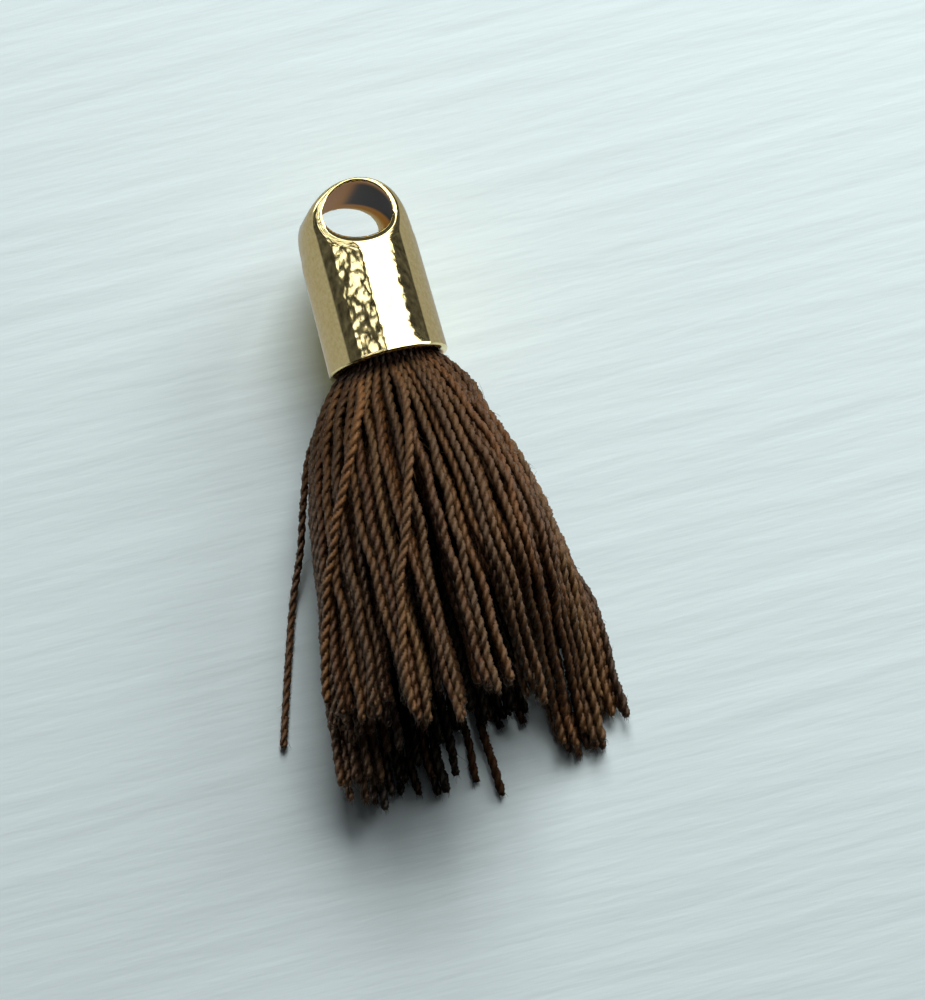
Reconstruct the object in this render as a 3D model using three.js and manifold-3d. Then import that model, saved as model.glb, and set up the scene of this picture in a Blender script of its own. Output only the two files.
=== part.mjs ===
// A small thread tassel lying on a flat surface.
//
// A hollow end cap whose closed end is a rounded eye grips the head of a bundle of cotton threads. The threads
// spread below the cap's mouth into a bell-shaped skirt that rests on the surface, and hold the cap off it.
// Millimetres, +Z up. The tassel lies along Y, with its cap towards +Y.
import * as THREE from 'three';
import { mergeVertices } from 'three/addons/utils/BufferGeometryUtils.js';
import Module from 'manifold-3d';

const wasm = await Module();
wasm.setup();

// End cap, measured from its mouth along its own axis.
const CAP_LENGTH = 8.8;
const CAP_MOUTH_RADIUS = 2.9;
const CAP_END_RADIUS = 2.77;
const CAP_FACETS = 48;
const EYE_RADIUS = 2.85;
const EYE_FACETS = 24;
const CAP_WALL = 0.45;
const HOLE_WIDTH = 3.3;
const HOLE_LENGTH = 2.66;
const HOLE_BELOW_TOP = 1.66;
const HOLE_ROLL = THREE.MathUtils.degToRad(10);
const HOLE_FACETS = 32;

// How the cap is held: the height of its mouth's centre and the rise of its closed end.
const MOUTH_HEIGHT = 3.6;
const CAP_TILT = THREE.MathUtils.degToRad(4.5);

// Head of the thread bundle: a plug in the cap's hollow and a short flare below the mouth.
const HEAD_CLEARANCE = 0.45;
const HEAD_RADIUS = CAP_MOUTH_RADIUS - CAP_WALL - HEAD_CLEARANCE;
const HEAD_DEPTH = 4.2;
const HEAD_FACETS = 36;
const FLARE_SECTIONS = [
  { below: 1.6, radius: 0 },
  { below: 1.3, radius: 3.25 },
  { below: 0.8, radius: 3.1 },
  { below: 0.4, radius: 2.4 },
  { below: 0, radius: HEAD_RADIUS },
];

// Threads: square sections on rings around the bundle's middle, from the head out.
const THREAD_SIDE = 0.45;
const THREAD_STEPS = 5;
const THREAD_START = 0.8;
const STEP_CROWDING = 1.6;
const RING_COUNTS = [1, 6, 12, 18, 24, 30, 36];
const RING_SPREAD = 0.7;
const SPREAD_LENGTH = 20;
const ANGLE_JITTER = 0.25;
const THREAD_SEED = 7;

// Where the threads are cut: shorter on top and in the core, longer underneath, and uneven.
const CUT_MIDDLE = 18.75;
const CUT_LEAN = 1.75;
const CUT_JITTER = 0.4;
const CORE_SHORTER = 2.2;

// The skirt's outline: distance below the mouth, reach to each side, and height of its top and bottom
// thread. Where the bottom would pass below the surface, the threads lie level on it.
const SKIRT_SECTIONS = [
  { along: 0.0, left: 2.0, right: 1.95, top: 5.55, bottom: 1.65 },
  { along: 0.6, left: 3.0, right: 2.75, top: 6.25, bottom: 1.0 },
  { along: 1.4, left: 3.55, right: 3.05, top: 6.75, bottom: 0.45 },
  { along: 2.9, left: 4.4, right: 3.5, top: 7.3, bottom: -0.2 },
  { along: 5.2, left: 5.3, right: 4.6, top: 7.8, bottom: -0.6 },
  { along: 8.4, left: 5.8, right: 5.25, top: 8.05, bottom: -0.9 },
  { along: 12.0, left: 6.3, right: 5.6, top: 8.05, bottom: -1.05 },
  { along: 15.0, left: 6.85, right: 5.95, top: 7.9, bottom: -1.15 },
  { along: 17.5, left: 7.25, right: 6.2, top: 7.75, bottom: -1.2 },
  { along: 21.0, left: 7.6, right: 6.45, top: 7.55, bottom: -1.2 },
];

// Locks of threads cut longer or shorter than their neighbours, by degrees around the skirt seen from
// its cut end: 0 is the right, 90 the top, 180 the left and 270 the surface.
const UNEVEN_LOCKS = [
  { from: 12, to: 58, longer: -1.5 },
  { from: 104, to: 114, longer: 0.8 },
  { from: 128, to: 152, longer: -1.3 },
  { from: 152, to: 176, longer: -2.2 },
  { from: 176, to: 189, longer: -1.7 },
  { from: 195, to: 228, longer: 0.2 },
  { from: 255, to: 266, longer: -0.6 },
  { from: 266, to: 274, longer: 0.3 },
  { from: 274, to: 297, longer: -2.5 },
  { from: 336, to: 350, longer: 0.2 },
];

// The one thread that has strayed from the left of the skirt and lies on the surface beside it.
const STRAY_ROUTE = [
  { along: 0.8, side: -2.8, height: 2.9 },
  { along: 2.6, side: -4.4, height: 2.6 },
  { along: 5.3, side: -5.6, height: 2.0 },
  { along: 7.2, side: -6.23, height: 1.15 },
  { along: 9.3, side: -7.13, height: 0.35 },
  { along: 12.1, side: -8.09, height: THREAD_SIDE / 2 },
  { along: 16.25, side: -9.42, height: THREAD_SIDE / 2 },
];

const GOLD_PLATE = new THREE.MeshStandardMaterial({ color: 0xd8c27a, roughness: 0.12, metalness: 1 });
const BROWN_COTTON = new THREE.MeshStandardMaterial({ color: 0x4a3424, roughness: 0.9, metalness: 0 });

// A closed solid from a geometry's triangles, without the collapsed ones at a lathe's poles.
function solidFrom(geometry) {
  const bare = geometry.clone();
  bare.deleteAttribute('normal');
  bare.deleteAttribute('uv');
  const merged = mergeVertices(bare);
  const corners = merged.index.array;
  const triangles = [];
  for (let i = 0; i < corners.length; i += 3) {
    const [a, b, c] = corners.subarray(i, i + 3);
    if (a !== b && b !== c && c !== a) {
      triangles.push(a, b, c);
    }
  }
  return new wasm.Manifold(new wasm.Mesh({
    numProp: 3,
    vertProperties: merged.attributes.position.array,
    triVerts: Uint32Array.from(triangles),
  }));
}

// A geometry with a solid's vertices and triangles.
function geometryFrom(solid) {
  const { vertProperties, triVerts, numProp } = solid.getMesh();
  const geometry = new THREE.BufferGeometry();
  geometry.setAttribute('position', new THREE.BufferAttribute(vertProperties, numProp));
  geometry.setIndex(new THREE.BufferAttribute(triVerts, 1));
  geometry.computeVertexNormals();
  return geometry;
}

// A repeatable stream of numbers from 0 to 1.
function seededRandom(seed) {
  let state = seed;
  return () => {
    state = (state + 0x6d2b79f5) | 0;
    let mixed = Math.imul(state ^ (state >>> 15), 1 | state);
    mixed = (mixed + Math.imul(mixed ^ (mixed >>> 7), 61 | mixed)) ^ mixed;
    return ((mixed ^ (mixed >>> 14)) >>> 0) / 4294967296;
  };
}

// The plan of the cap's closed end: a round eye, with room to spare beside the tube below it.
function makeEyeGeometry(radius) {
  const eyeMiddle = CAP_LENGTH - EYE_RADIUS;
  const clear = 2 * CAP_MOUTH_RADIUS;
  const plan = new THREE.Shape();
  plan.moveTo(-clear, -clear);
  plan.lineTo(clear, -clear);
  plan.lineTo(clear, eyeMiddle);
  plan.lineTo(radius, eyeMiddle);
  plan.absarc(0, eyeMiddle, radius, 0, Math.PI, false);
  plan.lineTo(-clear, eyeMiddle);
  plan.closePath();
  const eye = new THREE.ExtrudeGeometry(plan, {
    depth: 2 * clear,
    bevelEnabled: false,
    curveSegments: EYE_FACETS,
  });
  eye.translate(0, 0, -clear);
  eye.rotateY(HOLE_ROLL);
  return eye;
}

// A tapered tube, its end rounded to an eye, that lies a given depth inside the cap's outer form.
function makeCapForm(depth, start) {
  const tube = new THREE.LatheGeometry([
    new THREE.Vector2(0, start),
    new THREE.Vector2(CAP_MOUTH_RADIUS - depth, start),
    new THREE.Vector2(CAP_END_RADIUS - depth, CAP_LENGTH),
    new THREE.Vector2(0, CAP_LENGTH),
  ], CAP_FACETS);
  return solidFrom(tube).intersect(solidFrom(makeEyeGeometry(EYE_RADIUS - depth)));
}

// Cap: a hollow shell that is open at its mouth, with an oval hole across its eye.
function makeCapGeometry() {
  const shell = makeCapForm(0, 0).subtract(makeCapForm(CAP_WALL, -CAP_WALL));
  const hole = new THREE.CylinderGeometry(HOLE_WIDTH / 2, HOLE_WIDTH / 2, 4 * CAP_MOUTH_RADIUS, HOLE_FACETS);
  hole.rotateX(Math.PI / 2);
  hole.scale(1, HOLE_LENGTH / HOLE_WIDTH, 1);
  hole.rotateY(HOLE_ROLL);
  hole.translate(0, CAP_LENGTH - HOLE_BELOW_TOP, 0);
  return geometryFrom(shell.subtract(solidFrom(hole)));
}

// Head: the glued end of the bundle, a plug in the cap that flares below the mouth.
function makeHeadGeometry() {
  const profile = [
    ...FLARE_SECTIONS.map(({ below, radius }) => new THREE.Vector2(radius, -below)),
    new THREE.Vector2(HEAD_RADIUS, HEAD_DEPTH),
    new THREE.Vector2(0, HEAD_DEPTH),
  ];
  const head = new THREE.LatheGeometry(profile, HEAD_FACETS);
  head.rotateX(CAP_TILT);
  head.translate(0, 0, MOUTH_HEIGHT);
  return head;
}

// The skirt's outline at any distance below the mouth, on smooth curves through the sections.
const OUTLINE = new THREE.CubicInterpolant(
  SKIRT_SECTIONS.map((section) => section.along),
  SKIRT_SECTIONS.flatMap(({ left, right, top, bottom }) => [left, right, top, bottom]),
  4,
);

// A point of the skirt. Its cross sections stay parallel to the cap's mouth.
function skirtPoint(along, side, height) {
  return new THREE.Vector3(side, -along - (height - MOUTH_HEIGHT) * Math.tan(CAP_TILT), height);
}

// A thread's path, along which its square section keeps two faces level.
class LevelPath extends THREE.Curve {
  getSpacedPoints(divisions) {
    return this.getPoints(divisions);
  }

  computeFrenetFrames(divisions) {
    const up = new THREE.Vector3(0, 0, 1);
    const frames = { tangents: [], normals: [], binormals: [] };
    for (let i = 0; i <= divisions; i += 1) {
      const tangent = this.getTangent(i / divisions);
      const normal = new THREE.Vector3().crossVectors(tangent, up).normalize();
      frames.tangents.push(tangent);
      frames.normals.push(normal);
      frames.binormals.push(new THREE.Vector3().crossVectors(tangent, normal));
    }
    return frames;
  }
}

// A thread of the skirt: its ring's share of the outline, its angle around the ring, and its cut.
class SkirtThread extends LevelPath {
  constructor(share, angle, cut) {
    super();
    this.share = share;
    this.angle = angle;
    this.cut = cut;
  }

  getPoint(t) {
    const along = THREE.MathUtils.lerp(THREAD_START, this.cut, t ** STEP_CROWDING);
    const [left, right, top, bottom] = OUTLINE.evaluate(along);
    const share = this.share ** THREE.MathUtils.lerp(1, RING_SPREAD, along / SPREAD_LENGTH);
    const across = Math.cos(this.angle);
    const rise = Math.sin(this.angle);
    const middle = (top + bottom) / 2;
    const halfHeight = (top - bottom) / 2;
    const lift = Math.max(rise * halfHeight, THREAD_SIDE / 2 - middle);
    return skirtPoint(along, share * across * (across < 0 ? left : right), middle + share * lift);
  }
}

// The stray thread, on a smooth curve through its route.
class StrayThread extends LevelPath {
  constructor(route) {
    super();
    this.curve = new THREE.CatmullRomCurve3(
      route.map(({ along, side, height }) => skirtPoint(along, side, height)),
    );
  }

  getPoint(t) {
    const point = this.curve.getPoint(t);
    point.z = Math.max(point.z, THREAD_SIDE / 2);
    return point;
  }
}

// How much longer a thread at this angle is cut than the skirt's plain slanting cut.
function unevenness(angle) {
  const degrees = THREE.MathUtils.euclideanModulo(THREE.MathUtils.radToDeg(angle), 360);
  const lock = UNEVEN_LOCKS.find(({ from, to }) => degrees >= from && degrees < to);
  return lock ? lock.longer : 0;
}

// All the threads, ring by ring from the middle of the bundle.
function makeThreadPaths() {
  const random = seededRandom(THREAD_SEED);
  const outerRing = RING_COUNTS.length - 1;
  const paths = [];
  RING_COUNTS.forEach((count, ring) => {
    const share = ring / outerRing;
    for (let i = 0; i < count; i += 1) {
      const place = i + (ring % 2) / 2 + ANGLE_JITTER * (2 * random() - 1);
      const angle = (place / count) * 2 * Math.PI;
      const slant = -CUT_LEAN * share ** RING_SPREAD * Math.sin(angle);
      const uneven = share * unevenness(angle) - (1 - share) * CORE_SHORTER;
      const cut = CUT_MIDDLE + slant + uneven + CUT_JITTER * (2 * random() - 1);
      paths.push(new SkirtThread(share, angle, cut));
    }
  });
  paths.push(new StrayThread(STRAY_ROUTE));
  return paths;
}

// Skirt: the head with the roots of every thread fused into it.
function makeSkirtGeometry() {
  const half = THREAD_SIDE / 2;
  const section = new THREE.Shape([
    new THREE.Vector2(-half, -half),
    new THREE.Vector2(half, -half),
    new THREE.Vector2(half, half),
    new THREE.Vector2(-half, half),
  ]);
  let skirt = solidFrom(makeHeadGeometry());
  for (const path of makeThreadPaths()) {
    const thread = new THREE.ExtrudeGeometry(section, {
      steps: THREAD_STEPS,
      bevelEnabled: false,
      extrudePath: path,
    });
    skirt = skirt.add(solidFrom(thread));
  }
  return geometryFrom(skirt);
}

const cap = new THREE.Mesh(makeCapGeometry(), GOLD_PLATE);
cap.name = 'cap';
cap.rotation.x = CAP_TILT;
cap.position.z = MOUTH_HEIGHT;

const skirt = new THREE.Mesh(makeSkirtGeometry(), BROWN_COTTON);
skirt.name = 'skirt';

// The origin is under the middle of the tassel, on the surface that it lies on.
const tassel = new THREE.Group();
tassel.add(cap, skirt);
const box = new THREE.Box3().setFromObject(tassel, true);
const middle = box.getCenter(new THREE.Vector3());
tassel.position.set(-middle.x, -middle.y, -box.min.z);

export default tassel;
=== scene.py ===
"""Looks of a small thread tassel that lies on its side.

A hollow gold-plated end cap with a cross hole holds a bundle of two-ply cotton threads. Sizes are in
millimetres and become metres when a mesh is finished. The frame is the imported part's own: +Y runs from the
cut end of the threads to the cap, and +Z points up from the surface that the tassel lies on.
"""

import logging
import math
from collections.abc import Callable
from dataclasses import dataclass, field
from enum import Enum
from itertools import starmap
from typing import Any, NamedTuple

import bmesh
import bpy
import numpy as np
from mathutils import Matrix, Vector

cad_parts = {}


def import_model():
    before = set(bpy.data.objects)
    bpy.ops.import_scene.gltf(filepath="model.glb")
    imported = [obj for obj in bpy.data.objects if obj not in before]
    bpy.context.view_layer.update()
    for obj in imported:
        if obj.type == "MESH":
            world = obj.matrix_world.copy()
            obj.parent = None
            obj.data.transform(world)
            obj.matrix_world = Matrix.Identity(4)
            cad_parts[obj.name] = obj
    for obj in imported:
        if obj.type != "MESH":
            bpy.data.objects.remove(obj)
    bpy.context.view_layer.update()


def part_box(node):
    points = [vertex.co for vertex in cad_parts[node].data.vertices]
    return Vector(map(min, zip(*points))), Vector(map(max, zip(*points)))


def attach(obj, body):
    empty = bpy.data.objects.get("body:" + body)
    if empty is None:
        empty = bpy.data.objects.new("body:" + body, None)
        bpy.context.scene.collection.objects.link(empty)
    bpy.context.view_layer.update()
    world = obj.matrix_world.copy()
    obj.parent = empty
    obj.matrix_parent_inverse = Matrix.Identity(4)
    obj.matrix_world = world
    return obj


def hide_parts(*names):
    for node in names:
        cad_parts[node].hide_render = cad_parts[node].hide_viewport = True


log = logging.getLogger("tassel")

MM = 0.001
FULL_TURN = 2.0 * math.pi
CENTRE = (0.0, 0.0, 0.0)
LENGTHWAYS = (0.0, 1.0, 0.0)
UP = np.array((0.0, 0.0, 1.0))
SMOOTH_RISE = {"interpolation_type": "SMOOTHSTEP"}
OF_COLOURS = {"data_type": "RGBA"}
OF_NUMBERS = {"data_type": "FLOAT"}


class Twist(Enum):
    """Way in which two plies wind round each other, named for the slant of the letter's middle stroke."""

    S = -1.0
    Z = 1.0


class Quarter(Enum):
    """Quarter of the skirt that a thread lies in, with the angle at its middle in degrees."""

    RIGHT = 0.0
    UPPER = 90.0
    LEFT = 180.0
    UNDER = 270.0


def linear(hex_code: str) -> tuple[float, float, float, float]:
    """Turns an sRGB hex colour to linear light.

    Args:
        hex_code: Colour as six hex digits after a hash sign.

    Returns:
        Red, green, blue and an alpha of 1.
    """
    parts = [int(hex_code[place:place + 2], 16) / 255.0 for place in (1, 3, 5)]
    lit = [part / 12.92 if part <= 0.04045 else ((part + 0.055) / 1.055) ** 2.4 for part in parts]
    return lit[0], lit[1], lit[2], 1.0


def add_node(tree: bpy.types.NodeTree, kind: str, settings: dict[str, Any] | None = None,
             inputs: dict[str | int, Any] | None = None,
             stops: tuple[tuple[float, tuple], ...] = ()) -> bpy.types.Node:
    """Adds one shader node with its settings, values and links.

    Args:
        tree: Node tree that gets the node.
        kind: Blender's name for the kind of shader node.
        settings: Options of the node by name.
        inputs: For each input a value, an output to link or a node whose first output is linked.
        stops: Places and colours of a colour ramp.

    Returns:
        The new node.
    """
    node = tree.nodes.new("ShaderNode" + kind)
    for name, value in (settings or {}).items():
        setattr(node, name, value)
    for key, value in (inputs or {}).items():
        source = value.outputs[0] if isinstance(value, bpy.types.Node) else value
        if isinstance(source, bpy.types.NodeSocket):
            tree.links.new(source, node.inputs[key])
        else:
            node.inputs[key].default_value = source
    if stops:
        ramp = node.color_ramp
        while len(ramp.elements) < len(stops):
            ramp.elements.new(1.0)
        for element, (place, colour) in zip(ramp.elements, stops):
            element.position = place
            element.color = colour
    return node


def start_material(name: str) -> tuple[bpy.types.Material, bpy.types.NodeTree]:
    """Makes an empty node material.

    Args:
        name: Name of the real material.

    Returns:
        The material and its node tree.
    """
    material = bpy.data.materials.new(name)
    material.use_nodes = True
    material.node_tree.nodes.clear()
    return material, material.node_tree


def put_in_scene(name: str, data: bpy.types.ID) -> bpy.types.Object:
    """Makes an object from a mesh, lamp or camera.

    Args:
        name: Name of the object.
        data: What it shows.

    Returns:
        The object, linked to the scene.
    """
    made = bpy.data.objects.new(name, data)
    bpy.context.scene.collection.objects.link(made)
    return made


def keep_form(form: bmesh.types.BMesh, name: str) -> bpy.types.Object:
    """Makes an object from a bmesh and frees the bmesh.

    Args:
        form: The shape.
        name: Name of the object and its mesh.

    Returns:
        The object, linked to the scene.
    """
    mesh = bpy.data.meshes.new(name)
    form.to_mesh(mesh)
    form.free()
    return put_in_scene(name, mesh)


def unit(vectors: np.ndarray) -> np.ndarray:
    """Scales vectors along the last axis to length 1."""
    return vectors / np.maximum(np.linalg.norm(vectors, axis=-1, keepdims=True), 1e-12)


def ease(value: np.ndarray) -> np.ndarray:
    """Eases values from 0 to 1, level at both ends."""
    kept = np.clip(value, 0.0, 1.0)
    return kept * kept * (3.0 - 2.0 * kept)


def curve_through(places: np.ndarray, values: np.ndarray, wanted: np.ndarray) -> np.ndarray:
    """Passes a smooth curve through a table of values.

    Args:
        places: Rising places of the table's rows.
        values: Value at each place.
        wanted: Places at which the curve is read.

    Returns:
        The curve's values at the wanted places.
    """
    slopes = np.gradient(values, places)
    row = np.clip(np.searchsorted(places, wanted, side="right") - 1, 0, len(places) - 2)
    span = places[row + 1] - places[row]
    t = (wanted - places[row]) / span
    ease_in = t * t * (3.0 - 2.0 * t)
    start_pull = t * (1.0 - t) ** 2
    end_pull = t * t * (t - 1.0)
    return (values[row] * (1.0 - ease_in) + values[row + 1] * ease_in
            + span * (slopes[row] * start_pull + slopes[row + 1] * end_pull))


def lot_drawer(seed: int) -> Callable[[], float]:
    """Makes a small random generator that gives the same draws as the part's own.

    Args:
        seed: Whole number that the draws start from.

    Returns:
        A function that gives the next number from 0 to 1.
    """
    mask = 0xFFFFFFFF
    state = seed

    def draw() -> float:
        """Gives the next number from 0 to 1."""
        nonlocal state
        state = (state + 0x6D2B79F5) & mask
        mixed = ((state ^ (state >> 15)) * (1 | state)) & mask
        mixed = ((mixed + (((mixed ^ (mixed >> 7)) * (61 | mixed)) & mask)) & mask) ^ mixed
        return (mixed ^ (mixed >> 14)) / 4294967296.0

    return draw


@dataclass(frozen=True)
class GoldPlate:
    """Thin bright gold plating on a moulded cap: a mirror with the mould's faint waves; inside the cap it is
    rough and painted brown as painted shade, and near black deep under the eye as painted shadow.
    """

    colour: str = "#ecd9a0"
    worn_colour: str = "#e0ca8c"
    # Painted shade inside the cap: brown on the inner wall, near black deep under the eye.
    shaded_inner_colour: str = "#b87a1c"
    deep_shadow_colour: str = "#070402"
    inner_depth: tuple[float, float] = (0.3, 1.0)
    deep_depth: tuple[float, float] = (1.0, 2.0)
    roughness: float = 0.045
    inner_roughness: float = 0.4
    wave_mm: float = 1.3
    wave_height_mm: float = 0.005
    mark_mm: float = 0.22
    mark_height_mm: float = 0.0006

    def make(self) -> bpy.types.Material:
        """Builds the plating's material, which reads how deep inside the cap each point lies and paints shade
        there.

        Returns:
            The material.
        """
        material, tree = start_material("gold_plating")
        depth = add_node(tree, "Attribute", {"attribute_name": "depth"}).outputs["Fac"]
        inside, deep = (
            add_node(tree, "MapRange", SMOOTH_RISE, {"Value": depth, "From Min": low, "From Max": high})
            for low, high in (self.inner_depth, self.deep_depth))
        place = add_node(tree, "TexCoord").outputs["Object"]
        waves = add_node(tree, "TexNoise", inputs={
            "Vector": place, "Scale": 1.0 / (self.wave_mm * MM), "Detail": 1.0, "Roughness": 0.4})
        marks = add_node(tree, "TexNoise", inputs={
            "Vector": place, "Scale": 1.0 / (self.mark_mm * MM), "Detail": 5.0, "Roughness": 0.65})
        wear = add_node(tree, "ValToRGB", inputs={"Fac": marks}, stops=(
            (0.35, linear(self.worn_colour)), (0.62, linear(self.colour))))
        gloss = add_node(tree, "MapRange", inputs={
            "Value": marks, "From Min": 0.3, "From Max": 0.7,
            "To Min": self.roughness * 1.6, "To Max": self.roughness * 0.6})
        rolled = add_node(tree, "Bump", inputs={
            "Strength": 1.0, "Distance": self.wave_height_mm * MM, "Height": waves})
        scuffed = add_node(tree, "Bump", inputs={
            "Strength": 1.0, "Distance": self.mark_height_mm * MM, "Height": marks, "Normal": rolled})
        # Painted shade: brown on the inner wall, near black deeper in.
        painted_inner_shade = add_node(tree, "Mix", OF_COLOURS, {
            "Factor": deep, 6: linear(self.shaded_inner_colour), 7: linear(self.deep_shadow_colour)})
        tinted = add_node(tree, "Mix", OF_COLOURS, {"Factor": inside, 6: wear, 7: painted_inner_shade.outputs[2]})
        rough = add_node(tree, "Mix", OF_NUMBERS, {0: inside, 2: gloss, 3: self.inner_roughness})
        shader = add_node(tree, "BsdfPrincipled", inputs={
            "Base Color": tinted.outputs[2], "Metallic": 1.0, "Normal": scuffed, "Roughness": rough})
        add_node(tree, "OutputMaterial", inputs={"Surface": shader})
        return material


@dataclass(frozen=True)
class CottonThread:
    """Dyed mercerised cotton: dark brown plies with a soft gloss on each crest and fine fibres; the lowest
    tones, which only painted shade reaches, are near black.
    """

    name: str = "dyed_cotton_thread"
    shaded: str = "#090502"
    dark: str = "#2a1708"
    middle: str = "#3e2912"
    light: str = "#684a28"
    red: str = "#603815"
    gloss_colour: str = "#f4dfcd"
    sheen_colour: str = "#d8b890"
    roughness: float = 0.45
    gloss: float = 0.42
    sheen: float = 0.05
    streak: float = 0.6
    fibre_mm: float = 0.035
    fibre_stretch: float = 0.16
    fibre_height_mm: float = 0.012

    def make(self) -> bpy.types.Material:
        """Builds the thread's material, which reads a piece's UV map, its warmth and its tone, which holds
        each thread's own lightness and the painted shade laid on it.

        Returns:
            The material.
        """
        material, tree = start_material(self.name)
        along = add_node(tree, "UVMap", {"uv_map": "fibres"})
        stretched = add_node(tree, "Mapping", {"vector_type": "POINT"}, {
            "Vector": along, "Scale": (1.0, self.fibre_stretch, 1.0)})
        fibres = add_node(tree, "TexNoise", inputs={
            "Vector": stretched, "Scale": 1.0 / self.fibre_mm, "Detail": 3.0, "Roughness": 0.6})
        tone, warmth = (add_node(tree, "Attribute", {"attribute_name": name}).outputs["Fac"]
                        for name in ("tone", "warmth"))
        streak = add_node(tree, "Math", {"operation": "MULTIPLY_ADD"}, {
            0: fibres, 1: self.streak, 2: -self.streak / 2.0})
        shade = add_node(tree, "Math", {"operation": "ADD"}, {0: tone, 1: streak})
        # The shaded stop at the bottom of the ramp is painted shade.
        brown = add_node(tree, "ValToRGB", inputs={"Fac": shade}, stops=(
            (0.0, linear(self.shaded)), (0.18, linear(self.dark)), (0.5, linear(self.middle)),
            (0.95, linear(self.light))))
        dyed_and_shaded = add_node(tree, "Mix", OF_COLOURS, {"Factor": warmth, 6: brown, 7: linear(self.red)})
        relief = add_node(tree, "Bump", inputs={
            "Strength": 0.8, "Distance": self.fibre_height_mm * MM, "Height": fibres})
        shader = add_node(tree, "BsdfPrincipled", inputs={
            "Base Color": dyed_and_shaded.outputs[2], "Roughness": self.roughness, "Specular IOR Level": self.gloss,
            "Specular Tint": linear(self.gloss_colour), "Sheen Weight": self.sheen, "Sheen Roughness": 0.4,
            "Sheen Tint": linear(self.sheen_colour), "Normal": relief})
        add_node(tree, "OutputMaterial", inputs={"Surface": shader})
        return material


@dataclass(frozen=True)
class PaintedBoard:
    """Plain pale paint with faint brush marks, for the surface under the tassel."""

    colour: str = "#e2efee"
    brush_mm: float = 1.6
    brush_stretch: float = 0.12
    brush_turn: float = math.radians(8.0)
    brush_height_mm: float = 0.16

    def make(self) -> bpy.types.Material:
        """Builds the paint's material.

        Returns:
            The material.
        """
        material, tree = start_material("pale_paint")
        place = add_node(tree, "TexCoord").outputs["Object"]
        turned = add_node(tree, "Mapping", {"vector_type": "POINT"}, {
            "Vector": place, "Rotation": (0.0, 0.0, self.brush_turn),
            "Scale": (self.brush_stretch, 1.0, 1.0)})
        brush = add_node(tree, "TexNoise", inputs={
            "Vector": turned, "Scale": 1.0 / (self.brush_mm * MM), "Detail": 4.0})
        relief = add_node(tree, "Bump", inputs={
            "Strength": 0.6, "Distance": self.brush_height_mm * MM, "Height": brush})
        shader = add_node(tree, "BsdfPrincipled", inputs={
            "Base Color": linear(self.colour), "Roughness": 0.6, "Specular IOR Level": 0.0, "Normal": relief})
        add_node(tree, "OutputMaterial", inputs={"Surface": shader})
        return material


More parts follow.
